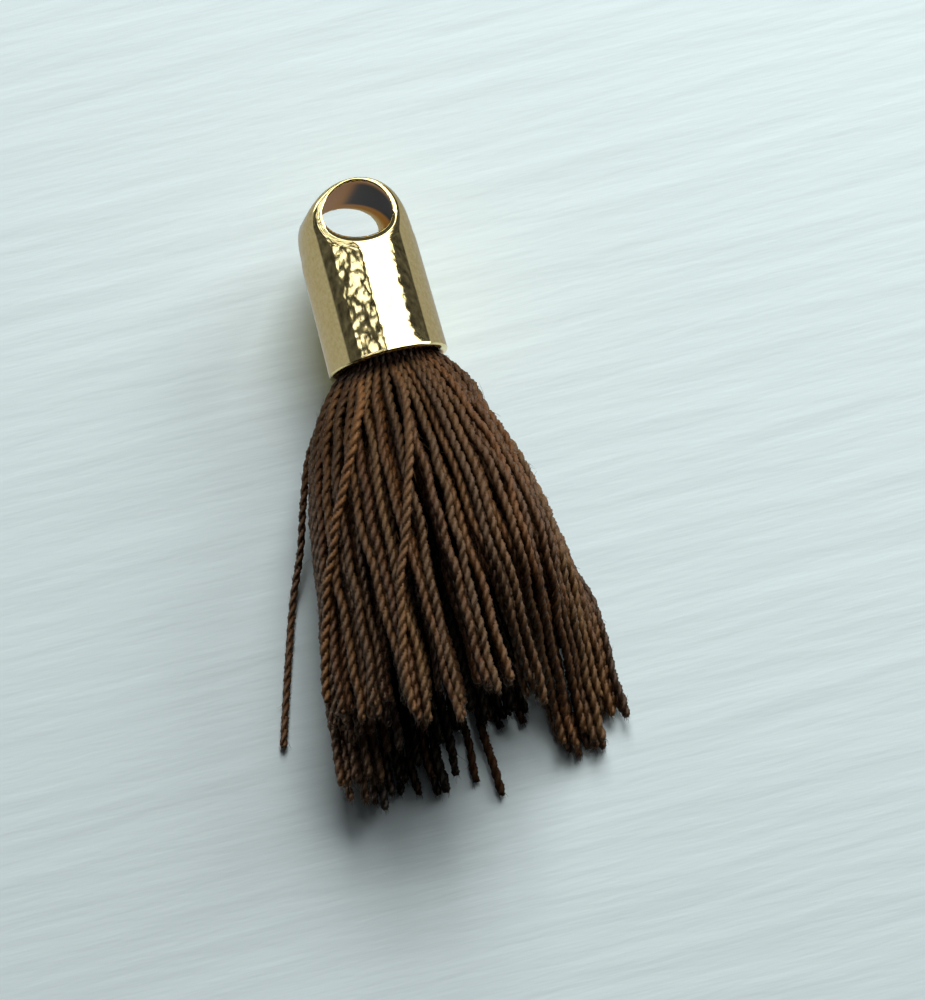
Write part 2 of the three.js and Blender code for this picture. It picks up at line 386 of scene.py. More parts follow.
@dataclass
class EndCap:
    """Gold-plated end cap: a hollow tapered shell, its closed end rounded to an eye with a hole across."""

    length: float = 8.8
    mouth_radius: float = 2.9
    end_radius: float = 2.77
    eye_radius: float = 2.85
    eye_run_in: float = 0.6
    wall: float = 0.45
    hole_width: float = 3.3
    hole_length: float = 2.66
    hole_below_top: float = 1.66
    hole_roll: float = math.radians(10.0)
    edge_rounding: float = 0.46
    lip_rounding: float = 0.75
    lip_draw: float = 0.1
    mouth_rounding: float = 0.12
    mouth_clear: float = 0.45
    mouth_height: float = 3.6
    tilt: float = math.radians(4.5)
    facet: float = 0.075
    rings: int = 96
    rounding_passes: int = 6
    rounding_probe: float = 1e-4
    # Spans of the painted shade inside the cap: how it reaches the inner wall, and where the painted shadow
    # under the eye starts and grows from the top wall, the floor wall and the left.
    inner_run_in: tuple[float, float] = (1.5, 0.6)
    deep_from_top: tuple[float, float] = (0.5, 0.7)
    deep_from_floor: tuple[float, float] = (0.8, 0.5)
    deep_from_left: tuple[float, float] = (-0.2, 0.9)
    mouth: Vector = field(default_factory=Vector)

    def find_mouth(self) -> None:
        """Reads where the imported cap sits, which gives the middle of its mouth in millimetres."""
        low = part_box("cap")[0] / MM
        lean = self.mouth_radius * math.sin(self.tilt)
        self.mouth = Vector((low.x + self.mouth_radius, low.y + lean, self.mouth_height))

    def stand_off(self, points: np.ndarray) -> np.ndarray:
        """Tells how far points stand outside the cap's rounded skin.

        Args:
            points: Places in the cap's own frame, which has its mouth at the origin and its axis along Y.

        Returns:
            Signed distance of each point, below 0 inside the cap.
        """
        wide, long = self.hole_width / 2.0 - self.lip_draw, self.hole_length / 2.0 - self.lip_draw
        across, up = self.across(points), points[:, 1] - (self.length - self.hole_below_top)
        ring = np.hypot(across / wide, up / long)
        hole = (ring - 1.0) * ring / np.maximum(np.hypot(across / wide ** 2, up / long ** 2), 1e-6)
        wall = np.maximum(self.outside(points, 0.0), -self.outside(points, self.wall))
        shell = self.rounded_cut(wall, -hole, self.lip_rounding)
        return self.rounded_cut(shell, -points[:, 1], self.mouth_rounding)

    def across(self, points: np.ndarray) -> np.ndarray:
        """Gives each point's distance across the eye, which is rolled a little round the cap's axis."""
        return points[:, 0] * math.cos(self.hole_roll) - points[:, 2] * math.sin(self.hole_roll)

    def outside(self, points: np.ndarray, depth: float) -> np.ndarray:
        """Tells how far points stand outside the cap's outer form or a form inside it.

        Args:
            points: Places in the cap's own frame.
            depth: How deep the form lies inside the outer one.

        Returns:
            Signed distance of each point.
        """
        taper = (self.end_radius - self.mouth_radius) / self.length
        skin = np.hypot(points[:, 0], points[:, 2]) - self.mouth_radius - taper * points[:, 1]
        past_eye = points[:, 1] - (self.length - self.eye_radius)
        eye = np.hypot(self.across(points), np.maximum(past_eye, 0.0))
        eye = eye + np.minimum(past_eye, 0.0) * self.eye_run_in
        return self.rounded_cut(skin + depth, eye - self.eye_radius + depth, self.edge_rounding)

    @staticmethod
    def rounded_cut(kept: np.ndarray, cut: np.ndarray, rounding: float) -> np.ndarray:
        """Keeps what lies inside two surfaces, given by signed distances, and rounds their edge."""
        near = np.maximum(rounding - np.abs(kept - cut), 0.0)
        return np.maximum(kept, cut) + near * near / (4.0 * rounding)

    def turned_blank(self, name: str, depth: float, start: float) -> bpy.types.Object:
        """Turns a tapered blank as a lathe does.

        Args:
            name: Name of the blank.
            depth: How deep the blank lies inside the cap's outer form.
            start: Where it starts, beside the cap's mouth.

        Returns:
            The blank, in millimetres in the cap's own frame.
        """
        profile = ((0.0, start), (self.mouth_radius - depth, start), (self.end_radius - depth, self.length),
                   (0.0, self.length))
        form = bmesh.new()
        corners = [form.verts.new((radius, along, 0.0)) for radius, along in profile]
        edges = [form.edges.new(pair) for pair in zip(corners, corners[1:])]
        bmesh.ops.spin(form, geom=corners + edges, cent=CENTRE, axis=LENGTHWAYS, angle=FULL_TURN,
                       steps=self.rings, use_merge=True)
        bmesh.ops.remove_doubles(form, verts=form.verts, dist=1e-5)
        bmesh.ops.recalc_face_normals(form, faces=form.faces)
        return keep_form(form, name)

    def eye_former(self, name: str, depth: float) -> bpy.types.Object:
        """Makes the block that rounds the closed end to an eye.

        Args:
            name: Name of the block.
            depth: How deep the eye lies inside the cap's outer form.

        Returns:
            The block, in the blank's frame.
        """
        clear = 2.0 * self.mouth_radius
        middle = self.length - self.eye_radius
        radius = self.eye_radius - depth
        plan = [(-clear, middle), (-clear, -clear), (clear, -clear), (clear, middle)]
        plan += [(radius * math.cos(lean), middle + radius * math.sin(lean))
                 for lean in np.linspace(0.0, math.pi, self.rings // 2 + 1)]
        form = bmesh.new()
        face = form.faces.new([form.verts.new((side, along, -clear)) for side, along in plan])
        raised = bmesh.ops.extrude_face_region(form, geom=[face])["geom"]
        bmesh.ops.translate(form, vec=(0.0, 0.0, 2.0 * clear),
                            verts=[part for part in raised if isinstance(part, bmesh.types.BMVert)])
        bmesh.ops.rotate(form, verts=form.verts, cent=CENTRE, matrix=Matrix.Rotation(self.hole_roll, 3, "Y"))
        bmesh.ops.recalc_face_normals(form, faces=form.faces)
        return keep_form(form, name)

    def hole_drill(self) -> bpy.types.Object:
        """Makes the drill that opens the cross hole.

        Returns:
            The drill, in the blank's frame.
        """
        form = bmesh.new()
        size = (self.hole_width / 2.0, self.hole_length / 2.0, 4.0 * self.mouth_radius, 1.0)
        place = (Matrix.Translation((0.0, self.length - self.hole_below_top, 0.0))
                 @ Matrix.Rotation(self.hole_roll, 4, "Y") @ Matrix.Diagonal(size))
        bmesh.ops.create_cone(form, cap_ends=True, segments=self.rings, radius1=1.0, radius2=1.0, depth=1.0,
                              matrix=place)
        return keep_form(form, "cap_drill")

    def build(self) -> bpy.types.Object:
        """Turns, hollows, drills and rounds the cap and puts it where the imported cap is.

        Returns:
            The finished cap.
        """
        blank = self.turned_blank("cap_blank", 0.0, 0.0)
        former = self.eye_former("cap_former", 0.0)
        core = self.turned_blank("cap_core", self.wall, -self.mouth_clear)
        core_former = self.eye_former("cap_core_former", self.wall)
        drill = self.hole_drill()
        for piece, tool, operation in ((core, core_former, "INTERSECT"), (blank, former, "INTERSECT"),
                                       (blank, core, "DIFFERENCE"), (blank, drill, "DIFFERENCE")):
            cut = piece.modifiers.new(tool.name, "BOOLEAN")
            cut.operation, cut.object, cut.solver = operation, tool, "EXACT"
        even = blank.modifiers.new("even_faces", "REMESH")
        even.mode, even.voxel_size = "VOXEL", self.facet
        ready = blank.evaluated_get(bpy.context.evaluated_depsgraph_get())
        mesh = bpy.data.meshes.new_from_object(ready)
        mesh.name = "gold_cap"
        for spare in (blank, former, core, core_former, drill):
            bpy.data.objects.remove(spare, do_unlink=True)
        self.round_off(mesh)
        place = Matrix.Translation(self.mouth) @ Matrix.Rotation(self.tilt, 4, "X")
        mesh.transform(Matrix.Scale(MM, 4) @ place)
        mesh.shade_smooth()
        return put_in_scene("gold_cap", mesh)

    def round_off(self, mesh: bpy.types.Mesh) -> None:
        """Moves every point of the cap onto its rounded skin and notes how deep inside the cap it lies, which
        places the plating's painted shade.

        Args:
            mesh: The drilled cap in its own frame.
        """
        points = np.empty(len(mesh.vertices) * 3)
        mesh.vertices.foreach_get("co", points)
        points = points.reshape(-1, 3)
        probe = self.rounding_probe
        for _ in range(self.rounding_passes):
            stand = self.stand_off(points)
            slope = np.stack([(self.stand_off(points + probe * way) - self.stand_off(points - probe * way))
                              / (2.0 * probe) for way in np.eye(3)], axis=1)
            points -= slope * (stand / np.maximum((slope ** 2).sum(axis=1), 0.2))[:, None]
        mesh.vertices.foreach_set("co", points.ravel())
        mesh.attributes.new("depth", "FLOAT", "POINT").data.foreach_set("value", self.inner_depth(points))
        mesh.update()

    def inner_depth(self, points: np.ndarray) -> np.ndarray:
        """Tells how deep inside the cap points lie, for the plating's painted shade: 0 outside, 1 on its
        inner wall, rising to 2 deep under the eye and towards +X, where the painted shadow is strongest.

        Args:
            points: Places on the cap, in its own frame.

        Returns:
            Depth of each point.
        """
        across = self.across(points)
        height = points[:, 2] * math.cos(self.hole_roll) + points[:, 0] * math.sin(self.hole_roll)
        top = np.sqrt(np.maximum(self.end_radius ** 2 - across ** 2, 0.0))
        inner, outer = self.inner_run_in
        below = np.minimum((top - np.abs(height)) / (inner * self.wall),
                           -self.outside(points, 0.0) / (outer * self.wall))
        under = np.ones(len(points))
        spans = ((top - height, self.deep_from_top), (top + height, self.deep_from_floor),
                 (across, self.deep_from_left))
        for value, (start, length) in spans:
            under *= ease((value - start) / length)
        return np.clip(below, 0.0, 1.0) * (1.0 + under)

    def dress(self, cap: bpy.types.Object, finish: GoldPlate) -> None:
        """Gives the cap its plating and its place in the part.

        Args:
            cap: The finished cap.
            finish: The plating.
        """
        cap.data.materials.append(finish.make())
        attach(cap, "root")
        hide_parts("cap")
        log.info("%s: %d faces", cap.name, len(cap.data.polygons))


class SkirtSection(NamedTuple):
    """Reach of the skirt at one distance from the cap's mouth."""

    along: float
    left: float
    right: float
    top: float
    bottom: float


class UnevenLock(NamedTuple):
    """Threads between two angles that were cut longer or shorter than the rest."""

    start: float
    end: float
    longer: float


class Parting(NamedTuple):
    """Angle in degrees at which the threads have parted, and how wide."""

    angle: float
    gap: float


class LaidOver(NamedTuple):
    """Thread that crosses its neighbours: its angles in degrees, where it swings over, and its look."""

    start: float
    end: float
    swing_from: float
    swing_to: float
    cut: float
    tone: float
    warmth: float
    thickness: float


class FallingLock(NamedTuple):
    """Lock that slips down: its angles in degrees, where its edges end, and its share of the whole fall."""

    start: float
    end: float
    start_side: float
    end_side: float
    start_cut: float
    end_cut: float
    drop: float


class RoutePoint(NamedTuple):
    """Point on the stray thread's route."""

    along: float
    side: float
    height: float


class Thread(NamedTuple):
    """One thread: its middle line in millimetres, quarter, colour, start of its twist and width."""

    line: np.ndarray
    quarter: Quarter
    tone: float
    warmth: float
    phase: float
    thickness: float


@dataclass
class TubeBatch:
    """Tubes gathered into one mesh."""

    points: list[np.ndarray] = field(default_factory=list)
    faces: list[list[int]] = field(default_factory=list)
    fibres: list[np.ndarray] = field(default_factory=list)
    tones: list[np.ndarray] = field(default_factory=list)
    warmths: list[np.ndarray] = field(default_factory=list)
    count: int = 0

    def add(self, rings: np.ndarray, run: np.ndarray, girth: float, tone: np.ndarray, warmth: float) -> None:
        """Adds one closed tube.

        Args:
            rings: Points of each ring, ring by ring.
            run: Distance of each ring along the tube in millimetres.
            girth: Distance round the tube in millimetres.
            tone: Lightness of each ring.
            warmth: Redness of the tube.
        """
        steps, sides = rings.shape[:2]
        index = self.count + np.arange(steps * sides).reshape(steps, sides)
        after = np.roll(index, -1, axis=1)
        quads = np.stack([index[:-1], after[:-1], after[1:], index[1:]], axis=-1).reshape(-1, 4)
        self.faces += quads.tolist()
        self.faces += [index[0, ::-1].tolist(), index[-1].tolist()]
        around = girth * np.arange(sides + 1) / sides
        fibres = np.empty((steps - 1, sides, 4, 2))
        fibres[..., 0] = np.stack([around[:-1], around[1:], around[1:], around[:-1]], axis=-1)[None]
        fibres[..., 1] = np.stack([run[:-1], run[:-1], run[1:], run[1:]], axis=-1)[:, None]
        self.fibres += [fibres.reshape(-1, 2), np.zeros((sides * 2, 2))]
        self.points.append(rings.reshape(-1, 3))
        self.tones.append(np.repeat(tone, sides))
        self.warmths.append(np.full(steps * sides, warmth))
        self.count += steps * sides

    def finish(self, name: str) -> bpy.types.Object:
        """Joins the tubes to one object in metres.

        Args:
            name: Name of the piece.

        Returns:
            The piece, linked to the scene.
        """
        mesh = bpy.data.meshes.new(name)
        mesh.from_pydata((np.concatenate(self.points) * MM).tolist(), [], self.faces)
        layer = mesh.uv_layers.new(name="fibres")
        layer.data.foreach_set("uv", np.concatenate(self.fibres).ravel())
        for label, values in (("tone", self.tones), ("warmth", self.warmths)):
            mesh.attributes.new(label, "FLOAT", "POINT").data.foreach_set("value", np.concatenate(values))
        mesh.shade_smooth()
        return put_in_scene(name, mesh)


@dataclass
class ThreadSkirt:
    """Skirt of two-ply threads that leaves the cap's mouth, spreads to a bell and lies on the surface."""

    mouth: Vector
    tilt: float
    thickness: float = 0.47
    neck_thickness: float = 0.34
    neck_length: float = 2.2
    # Painted shadow of the cap's rim: how far the tone of the threads at the neck is lowered.
    neck_painted_shadow: float = 0.4
    ply_share: float = 0.66
    ply_pitch: float = 1.22
    twist: Twist = Twist.Z
    ring_counts: tuple[int, ...] = (1, 6, 12, 18, 24, 30, 36)
    shell_threads: int = 10
    under_threads: int = 14
    under_share: float = 0.93
    layer_step: float = 0.3
    angle_jitter: float = 0.25
    thread_seed: int = 7
    look_seed: int = 23
    ring_spread: float = 0.7
    cut_middle: float = 18.75
    cut_lean: float = 1.75
    cut_jitter: float = 0.4
    core_shorter: float = 2.2
    # Painted shade: how far the tone of inner threads and of threads under the bell is lowered, and the
    # angles of the bell's underside.
    core_painted_shade: float = 0.5
    under_painted_shade: float = 0.5
    under_side: tuple[float, float] = (213.0, 338.0)
    thin_lock: tuple[float, float] = (255.0, 350.0)
    short_lock: tuple[float, float] = (297.0, 336.0)
    short_cut: float = 15.0
    core_cut: float = 17.6
    fall_from: float = 9.5
    fall_to: float = 19.5
    fall_share: float = 0.6
    fall_inner_cut: float = 2.0
    sway_from: float = 7.5
    sway_to: float = 15.0
    tip_height: float = 0.55
    tip_layer: float = 0.75
    tip_step: float = 0.25
    root: float = -1.4
    end: float = 21.4
    stations: int = 56
    line_points: int = 72
    spread_length: float = 16.0
    hollow_end: float = 0.42
    settling: int = 80
    push: float = 0.3
    stiffness: float = 0.08
    smoothing: int = 14
    smoothing_share: float = 0.25
    wide_parting: float = 0.5
    parting_clear: float = 9.0
    parting_from: float = 6.0
    parting_length: float = 8.0
    parting_near: float = 0.85
    parting_skin: float = 0.72
    wander: float = 0.1
    wander_waves: tuple[float, ...] = (5.0, 9.0)
    waves: float = 0.035
    wave_pace: tuple[float, float] = (2.2, 6.0)
    slubs: tuple[tuple[float, float, float], ...] = ((0.05, 1.0, 1.7), (0.04, 2.0, 4.1))
    step: float = 0.16
    sides: int = 6
    fray_length: float = 0.7
    fray: float = 0.2
    tip_share: float = 0.6
    stray_slim: float = 0.86
    fibre_radius: float = 0.009
    fibre_lean: tuple[float, float] = (0.25, 0.9)
    fibre_length: tuple[float, float] = (0.2, 0.65)
    brush_lean: tuple[float, float] = (0.05, 0.45)
    brush_length: tuple[float, float] = (0.15, 0.42)
    fibres_per_thread: int = 16
    fibres_per_end: int = 10
    fibre_first: int = 12
    fibre_last: int = 2
    fibre_along: float = 0.8
    fibre_root: float = 0.4
    fibre_curl: float = 0.5
    fibre_taper: tuple[float, ...] = (1.0, 0.95, 0.8, 0.4)
    fibre_sides: int = 3
    fibre_paler: float = 0.12
    brush_root: float = 0.1
    stray_points: int = 60
    stray_rest: float = 0.45
    fill_jitter: float = 0.4
    calm_length: float = 2.0
    calm_run_in: float = 3.0
    wander_run_in: float = 6.0
    wander_pace: tuple[float, float] = (0.8, 1.25)
    layer_run_in: float = 4.0
    cut_clear: float = 0.6
    floor_clear: float = 0.01
    parting_push: float = 0.3
    over_lead: float = 3.0
    over_rise: tuple[float, float] = (1.5, 4.0)
    over_lift: float = 1.15
    over_sink: float = 0.6
    tone_spread: tuple[float, float] = (0.48, 0.13)
    tone_range: tuple[float, float] = (0.2, 0.8)
    tone_wave: tuple[float, float, float] = (0.06, 3.0, 0.9)
    pale_slope: float = 2.5
    neck_shade: tuple[float, float] = (0.2, 0.9)
    warmth_spread: tuple[float, float] = (0.12, 0.2)
    warmth_range: tuple[float, float] = (0.0, 0.6)
    slim_range: tuple[float, float] = (0.94, 1.06)
    sections: tuple[SkirtSection, ...] = tuple(starmap(SkirtSection, (
        (-1.4, 2.15, 2.15, 5.35, 1.6),
        (0.0, 2.27, 2.27, 5.45, 1.4),
        (0.3, 2.95, 2.85, 5.4, 1.05),
        (0.7, 3.42, 3.35, 5.75, 0.8),
        (1.4, 3.8, 3.55, 6.4, 0.45),
        (2.9, 4.4, 3.75, 7.3, -0.2),
        (5.2, 5.3, 4.6, 7.8, -0.6),
        (8.4, 5.8, 5.35, 8.05, -0.9),
        (12.0, 6.3, 5.7, 8.05, -1.05),
        (15.0, 6.85, 6.0, 7.9, -1.15),
        (17.5, 7.25, 6.2, 7.75, -1.2),
        (21.0, 7.6, 6.45, 7.55, -1.2),
    )))
    uneven_locks: tuple[UnevenLock, ...] = tuple(starmap(UnevenLock, (
        (12.0, 58.0, -1.5), (104.0, 114.0, 0.8), (128.0, 152.0, -1.3), (152.0, 176.0, -2.2),
        (176.0, 189.0, -1.7), (195.0, 228.0, 0.2), (255.0, 266.0, -0.6), (266.0, 274.0, 0.3),
        (274.0, 297.0, -2.5), (336.0, 350.0, 0.2),
    )))
    partings: tuple[Parting, ...] = tuple(starmap(Parting, (
        (8.0, 0.3), (34.0, 0.1), (57.0, 0.25), (78.0, 0.3), (97.0, 0.95), (113.0, 0.35), (136.0, 0.4),
        (158.0, 0.3), (311.5, 0.35), (331.0, 0.4),
    )))
    laid_over: tuple[LaidOver, ...] = (
        LaidOver(117.0, 168.0, 1.0, 15.0, 15.3, 0.9, 0.5, 1.1),
        LaidOver(88.0, 117.0, 1.0, 15.0, 17.2, 0.62, 0.2, 1.0),
    )
    falling_locks: tuple[FallingLock, ...] = (
        FallingLock(-24.0, 8.0, 6.65, 5.3, 19.1, 18.5, 1.0),
        FallingLock(8.0, 34.0, 5.25, 4.4, 20.2, 20.0, 1.0),
        FallingLock(34.0, 57.0, 4.15, 3.05, 20.3, 19.6, 1.0),
        FallingLock(57.0, 71.0, 2.9, 2.1, 18.0, 17.3, 0.55),
    )
    stray_route: tuple[RoutePoint, ...] = tuple(starmap(RoutePoint, (
        (0.8, -2.8, 2.9), (2.6, -4.4, 2.6), (5.3, -5.6, 2.0), (7.2, -6.23, 1.15), (9.3, -7.13, 0.35),
        (12.1, -8.09, 0.225), (16.25, -9.42, 0.225),
    )))

    def outline(self, along: np.ndarray) -> tuple[np.ndarray, ...]:
        """Reads the bell at some distances from the mouth.

        Args:
            along: Distances from the mouth.

        Returns:
            Left reach, right reach, height of the middle and half the height at each distance.
        """
        table = np.array(self.sections)
        left, right, top, bottom = (curve_through(table[:, 0], table[:, column], along)
                                    for column in range(1, 5))
        return left, right, (top + bottom) / 2.0, (top - bottom) / 2.0

    def lock_length(self, angle: float) -> float:
        """Tells how much longer than the rest the lock at an angle in radians was cut, or below 0 shorter."""
        turn = math.degrees(angle) % 360.0
        return sum(lock.longer for lock in self.uneven_locks if lock.start <= turn < lock.end)

    def draw_lots(self) -> np.ndarray:
        """Draws each thread's share of the radius, its angle and its cut, as the part's own source does.

        Returns:
            One row a thread: share, angle in radians, cut, depth of its layer.
        """
        draw = lot_drawer(self.thread_seed)
        rows = []
        for ring, count in enumerate(self.ring_counts):
            share = ring / (len(self.ring_counts) - 1)
            for number in range(count):
                place = number + (ring % 2) / 2.0 + self.angle_jitter * (2.0 * draw() - 1.0)
                angle = place / count * FULL_TURN
                cut = (self.cut_middle - self.cut_lean * share ** self.ring_spread * math.sin(angle)
                       + share * self.lock_length(angle) - (1.0 - share) * self.core_shorter
                       + self.cut_jitter * (2.0 * draw() - 1.0))
                rows.append((share, angle, cut, 0.0 if share == 1.0 else self.layer_step))
        return np.array(rows)

    def fill_shell(self, chance: np.random.Generator) -> np.ndarray:
        """Draws the threads that close the bell's two outer layers, which the part's own source leaves open.

        Args:
            chance: Source of the draws.

        Returns:
            One row a thread: share, angle in radians, cut, depth of its layer.
        """
        rows = []
        thin_from, thin_to = np.radians(self.thin_lock)
        wide = [parting.angle for parting in self.partings if parting.gap > self.wide_parting]
        layers = ((self.shell_threads, 1.0, 0.0), (self.under_threads, self.under_share, self.layer_step))
        for count, share, depth in layers:
            for number in range(count):
                jitter = self.fill_jitter + chance.uniform(-self.fill_jitter, self.fill_jitter)
                angle = (number + jitter) / count * FULL_TURN % FULL_TURN
                cut = (self.cut_middle - self.cut_lean * math.sin(angle) + self.lock_length(angle)
                       + self.cut_jitter * chance.uniform(-1.0, 1.0))
                crosses = any(abs(math.degrees(angle) - turn) < self.parting_clear for turn in wide)
                if not crosses and not thin_from < angle < thin_to:
                    rows.append((share, angle, cut, depth))
        return np.array(rows)

    def cut_locks(self, lots: np.ndarray) -> dict[int, tuple[float, float, float]]:
        """Cuts the locks that fall to the surface and shortens the threads that lie under them.

        Args:
            lots: Share, angle, cut and layer of each thread, with its cuts changed in place.

        Returns:
            Side, height and drop of the tip of each thread that falls, by its number.
        """
        share, cuts = lots[:, 0], lots[:, 2]
        turn = (np.degrees(lots[:, 1]) + 180.0) % 360.0 - 180.0
        full = turn % 360.0
        shell = (share == 1.0) & (lots[:, 3] == 0.0)
        short = (full > self.short_lock[0]) & (full < self.short_lock[1])
        core = (share < 1.0) & (full > self.thin_lock[0]) & (full < self.short_lock[0])
        for chosen, longest in ((short, self.short_cut), (core, self.core_cut)):
            cuts[chosen] = np.minimum(cuts[chosen], longest)
        tips = {}
        for lock in self.falling_locks:
            inside = (turn >= lock.start) & (turn < lock.end)
            inner = inside & (share < self.fall_share)
            cuts[inner] = np.minimum(cuts[inner], self.fall_from + self.fall_inner_cut)
            falling = sorted(np.flatnonzero(inside & ~inner), key=lambda thread: turn[thread])
            for order, number in enumerate(falling):
                place = (turn[number] - lock.start) / (lock.end - lock.start)
                layer = 1 + order % 2 if shell[number] else 0
                tips[number] = (lock.start_side + place * (lock.end_side - lock.start_side),
                                self.thickness * (self.tip_height + self.tip_layer * layer), lock.drop)
                cuts[number] = (lock.start_cut + place * (lock.end_cut - lock.start_cut)
                                - self.tip_step * (order % 4))
        return tips

    def lay_out(self, lots: np.ndarray, along: np.ndarray,
                chance: np.random.Generator) -> tuple[np.ndarray, np.ndarray]:
        """Lays the threads out in the bell's sections, with a hollow that opens towards the cut end.

        Args:
            lots: Share, angle and cut of each thread.
            along: Distances of the sections from the mouth.
            chance: Source of each thread's slight waves.

        Returns:
            Side and height of each thread at each section.
        """
        left, right, middle, half = self.outline(along)
        share, angle = lots[:, :1], lots[:, 1:2]
        hollow = 1.0 - (1.0 - self.hollow_end) * ease(along / self.spread_length)
        spread = share ** hollow
        lift = np.maximum(np.sin(angle) * half, self.thickness / 2.0 - middle)
        side = spread * np.cos(angle) * np.where(np.cos(angle) < 0.0, left, right)
        height = middle + spread * lift
        loose = self.wander * ease(along / self.wander_run_in)
        for grid in (side, height):
            for wave in self.wander_waves:
                turn = chance.uniform(0.0, FULL_TURN, share.shape)
                pace = wave * chance.uniform(*self.wander_pace, share.shape)
                grid += loose * np.sin(turn + FULL_TURN * along / pace)
        return side, height

    def settle(self, side: np.ndarray, height: np.ndarray, along: np.ndarray, lots: np.ndarray) -> None:
        """Pushes touching threads apart until they lie beside each other, in the bell and on the surface.

        Args:
            side: Side of each thread at each section, changed in place.
            height: Height of each thread at each section, changed in place.
            along: Distances of the sections from the mouth.
            lots: Share, angle, cut and layer of each thread.
        """
        left, right, middle, half = self.outline(along)
        depth = lots[:, 3:] * ease(along / self.layer_run_in)
        half = half - depth
        thick = self.thread_width(along)
        there = (along[None, :] <= lots[:, 2:3] + self.cut_clear).astype(float)
        pairs = there[:, None, :] * there[None, :, :]
        for _ in range(self.settling):
            gap_side = side[:, None, :] - side[None, :, :]
            gap_height = height[:, None, :] - height[None, :, :]
            gap = np.hypot(gap_side, gap_height) + 1e-9
            push = self.push * np.clip(thick - gap, 0.0, None) * pairs / gap
            side += (push * gap_side).sum(axis=1)
            height += (push * gap_height).sum(axis=1)
            for grid in (side, height):
                grid[:, 1:-1] += self.stiffness * (grid[:, :-2] - 2.0 * grid[:, 1:-1] + grid[:, 2:])
            self.part(side, height, along, lots[:, 1])
            reach = np.where(side < 0.0, left, right) - depth
            out = np.hypot(side / reach, (height - middle) / half)
            tuck = np.where(out > 1.0, 1.0 / np.maximum(out, 1e-9), 1.0)
            side *= tuck
            height[:] = middle + (height - middle) * tuck
            np.maximum(height, thick / 2.0 + self.floor_clear, out=height)

    def part(self, side: np.ndarray, height: np.ndarray, along: np.ndarray, angles: np.ndarray) -> None:
        """Keeps the skirt's partings open.

        Args:
            side: Side of each thread at each section, changed in place.
            height: Height of each thread at each section, changed in place.
            along: Distances of the sections from the mouth.
            angles: Angle of each thread in radians.
        """
        left, right, middle, half = self.outline(along)
        opened = ease((along - self.parting_from) / self.parting_length)
        for parting in self.partings:
            turn = math.radians(parting.angle)
            beyond = np.sin(angles - turn)[:, None]
            close = (np.cos(angles - turn) > self.parting_near)[:, None]
            reach = np.where(side < 0.0, left, right)
            outer = np.hypot(side / reach, (height - middle) / half) > self.parting_skin
            across = (height - middle) * math.cos(turn) - side * math.sin(turn)
            wanted = 0.5 * (parting.gap + self.thickness) * opened
            short = np.clip(wanted - across * np.sign(beyond), 0.0, self.parting_push)
            shove = 0.5 * short * np.sign(beyond) * close * outer
            height += shove * math.cos(turn)
            side -= shove * math.sin(turn)

    def slip_down(self, side: np.ndarray, height: np.ndarray, along: np.ndarray,
                  tips: dict[int, tuple[float, float, float]]) -> None:
        """Smooths the settled threads and lets the falling locks slip down to the surface.

        Args:
            side: Side of each thread at each section, changed in place.
            height: Height of each thread at each section, changed in place.
            along: Distances of the sections from the mouth.
            tips: Side, height and drop of the tip of each thread that falls, by its number.
        """
        grow = ease((along[1:-1] - self.calm_length) / self.calm_run_in)
        for grid in (side, height):
            for _ in range(self.smoothing):
                bend = grid[:, :-2] - 2.0 * grid[:, 1:-1] + grid[:, 2:]
                grid[:, 1:-1] += self.smoothing_share * bend * grow
        fall = ease((along - self.fall_from) / (self.fall_to - self.fall_from))
        sway = ease((along - self.sway_from) / (self.sway_to - self.sway_from))
        for number, (tip_side, tip_height, drop) in tips.items():
            side[number] += sway * (tip_side - side[number])
            height[number] += drop * fall * (tip_height - height[number])

    def thread_width(self, along: np.ndarray) -> np.ndarray:
        """Gives a thread's thickness at some distances from the mouth: it is squeezed at the neck."""
        return self.neck_thickness + (self.thickness - self.neck_thickness) * ease(along / self.neck_length)

    def place(self, along: np.ndarray, side: np.ndarray, height: np.ndarray) -> np.ndarray:
        """Puts points of the skirt into the part's frame, in millimetres."""
        back = along + (height - self.mouth.z) * math.tan(self.tilt)
        return np.stack([self.mouth.x + side, self.mouth.y - back, height], axis=-1)

    def even_line(self, points: np.ndarray) -> np.ndarray:
        """Spaces a line's points evenly.

        Args:
            points: Points of the line.

        Returns:
            Points about one step apart on the same line.
        """
        run = np.concatenate([[0.0], np.cumsum(np.linalg.norm(np.diff(points, axis=0), axis=1))])
        wanted = np.linspace(0.0, run[-1], max(int(run[-1] / self.step), 8))
        return np.stack([curve_through(run, points[:, axis], wanted) for axis in range(3)], axis=-1)

    def make_threads(self) -> list[Thread]:
        """Lays and settles all threads and gives each its colour.

        Returns:
            The threads, the stray one last.
        """
        chance = np.random.default_rng(self.look_seed)
        lots = np.concatenate([self.draw_lots(), self.fill_shell(chance)])
        along = np.linspace(self.root, self.end, self.stations)
        tips = self.cut_locks(lots)
        side, height = self.lay_out(lots, along, chance)
        self.settle(side, height, along, lots)
        self.slip_down(side, height, along, tips)
        threads = []
        for number, (share, angle, cut, _) in enumerate(lots):
            wanted = np.linspace(self.root, cut, self.line_points)
            spots = [curve_through(along, grid[number], wanted) for grid in (side, height)]
            line = self.even_line(self.place(wanted, *spots))
            thread = self.colour(self.ripple(line, chance), angle, chance, 1.0)
